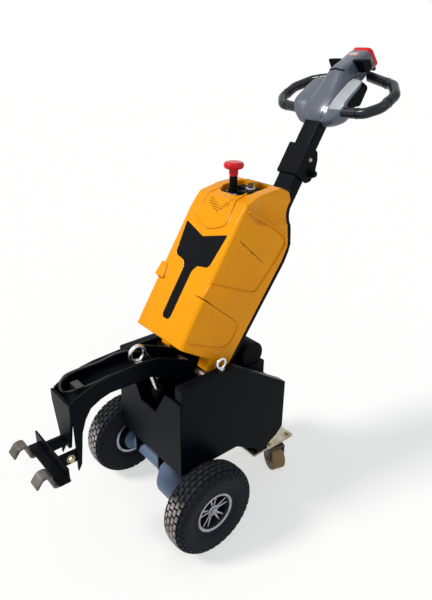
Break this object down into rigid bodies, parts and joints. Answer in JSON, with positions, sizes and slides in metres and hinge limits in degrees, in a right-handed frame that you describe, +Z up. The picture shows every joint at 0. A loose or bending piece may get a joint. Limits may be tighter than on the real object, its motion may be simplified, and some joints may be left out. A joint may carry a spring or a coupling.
{
  "type": "walk-behind electric tug",
  "caption": "Walk-behind electric tug: plate frame on two drive wheels and casters, leaning cover and column, folding tiller head, lifting hitch arm with hooks.",
  "frame": {"origin": "on the floor, at the middle of the overall length and width", "axes": "+Y towards the operator, -Y towards the hitch, +Z up, +X to the left of the operator who faces the hitch"},
  "size_m": [0.4908, 1.1728, 1.2559],
  "materials": {
    "axle_paint": "satin",
    "black_paint": "satin powder coat",
    "cable_rubber": "satin",
    "grip_rubber": "soft touch",
    "head_grey": "textured",
    "hook_steel": "bare steel",
    "motor_black": "matte",
    "polished_steel": "bright zinc",
    "rim_alloy": "machined",
    "roller_brown": "cast polyurethane",
    "signal_red": "gloss",
    "tyre": "matte",
    "yellow_cover": "gloss, moulded",
    "zinc_plate": "yellow zinc"
  },
  "bodies": {
    "chassis": {"axle_tube": "axle_paint", "gear_case": "axle_paint", "side_plate_right": "black_paint", "side_plate_left": "black_paint", "front_plate": "black_paint", "floor_pan": "black_paint", "rear_plate": "black_paint", "axle_hangers": "black_paint", "caster_pan": "zinc_plate", "caster_beam": "black_paint", "caster_plates": "zinc_plate", "column": "black_paint", "column_beam": "black_paint", "face_panel": "motor_black", "cover": "yellow_cover", "back_plate": "black_paint", "console_tray": "motor_black", "key_switch": "motor_black", "stop_collar": "motor_black", "stop_button": "signal_red", "lifting_eyes": "polished_steel", "pump_motor": "motor_black", "pump_block": "black_paint", "battery": "motor_black", "arm_pin": "zinc_plate", "cylinder_bracket": "black_paint"},
    "hitch_arm": {"arm_cheeks": "black_paint", "arm_web": "black_paint", "face_plate": "black_paint", "arm_ring": "polished_steel", "hook_beam": "black_paint", "beam_bracket": "black_paint", "hooks": "hook_steel", "rod_pin": "zinc_plate", "arm_cable_loop": "cable_rubber", "arm_cable_run": "cable_rubber", "cable_clips": "cable_rubber"},
    "tiller": {"tiller_collar": "black_paint", "tiller_tube": "black_paint", "tiller_head": "head_grey", "belly_button": "signal_red", "hand_loop_right": "grip_rubber", "hand_loop_left": "grip_rubber", "pivot_bolt": "zinc_plate", "lock_knob": "motor_black", "thumb_paddles": "motor_black", "side_flaps": "motor_black"},
    "cylinder_barrel": {"lift_barrel": "black_paint"},
    "cylinder_rod": {"lift_rod": "polished_steel"},
    "wheel_right": {"tyre_right": "tyre", "rim_right": "rim_alloy"},
    "caster_right": {"caster_fork_right": "zinc_plate"},
    "roller_right": {"caster_roller_right": "roller_brown"},
    "wheel_left": {"tyre_left": "tyre", "rim_left": "rim_alloy"},
    "caster_left": {"caster_fork_left": "zinc_plate"},
    "roller_left": {"caster_roller_left": "roller_brown"}
  },
  "joints": [
    {"name": "wheel_right_turn", "type": "hinge", "parent": "chassis", "child": "wheel_right", "pos_m": [0.206, -0.18341, 0.13], "axis": [1, 0, 0], "continuous": true},
    {"name": "caster_right_swivel", "type": "hinge", "parent": "chassis", "child": "caster_right", "pos_m": [0.0795, 0.18358, 0.0375], "axis": [0, 0, 1], "continuous": true},
    {"name": "roller_right_turn", "type": "hinge", "parent": "caster_right", "child": "roller_right", "pos_m": [0.10528, 0.17556, 0.0375], "axis": [0.2974, 0.9548, 0], "continuous": true},
    {"name": "wheel_left_turn", "type": "hinge", "parent": "chassis", "child": "wheel_left", "pos_m": [-0.206, -0.18341, 0.13], "axis": [1, 0, 0], "continuous": true},
    {"name": "caster_left_swivel", "type": "hinge", "parent": "chassis", "child": "caster_left", "pos_m": [-0.0795, 0.18358, 0.0375], "axis": [0, 0, 1], "continuous": true},
    {"name": "roller_left_turn", "type": "hinge", "parent": "caster_left", "child": "roller_left", "pos_m": [-0.05372, 0.17556, 0.0375], "axis": [0.2974, 0.9548, 0], "continuous": true},
    {"name": "arm_lift", "type": "hinge", "parent": "chassis", "child": "hitch_arm", "pos_m": [0, -0.09541, 0.446], "axis": [-1, 0, 0], "range_deg": [-8, 10]},
    {"name": "barrel_swing", "type": "hinge", "parent": "chassis", "child": "cylinder_barrel", "pos_m": [0, -0.15341, 0.262], "axis": [-1, 0, 0], "range_deg": [-2.46, 3]},
    {"name": "rod_slide", "type": "slide", "parent": "cylinder_barrel", "child": "cylinder_rod", "axis": [0, -0.2941, 0.9558], "range_m": [-0.0158, 0.01962]},
    {"name": "tiller_fold", "type": "hinge", "parent": "chassis", "child": "tiller", "pos_m": [0, 0.32398, 0.9291], "axis": [-1, 0, 0], "range_deg": [0, 105]}
  ],
  "couplings": [
    {"joint": "barrel_swing", "follows": "arm_lift", "ratio": 0.27027},
    {"joint": "rod_slide", "follows": "arm_lift", "m_per_rad": 0.10955}
  ]
}
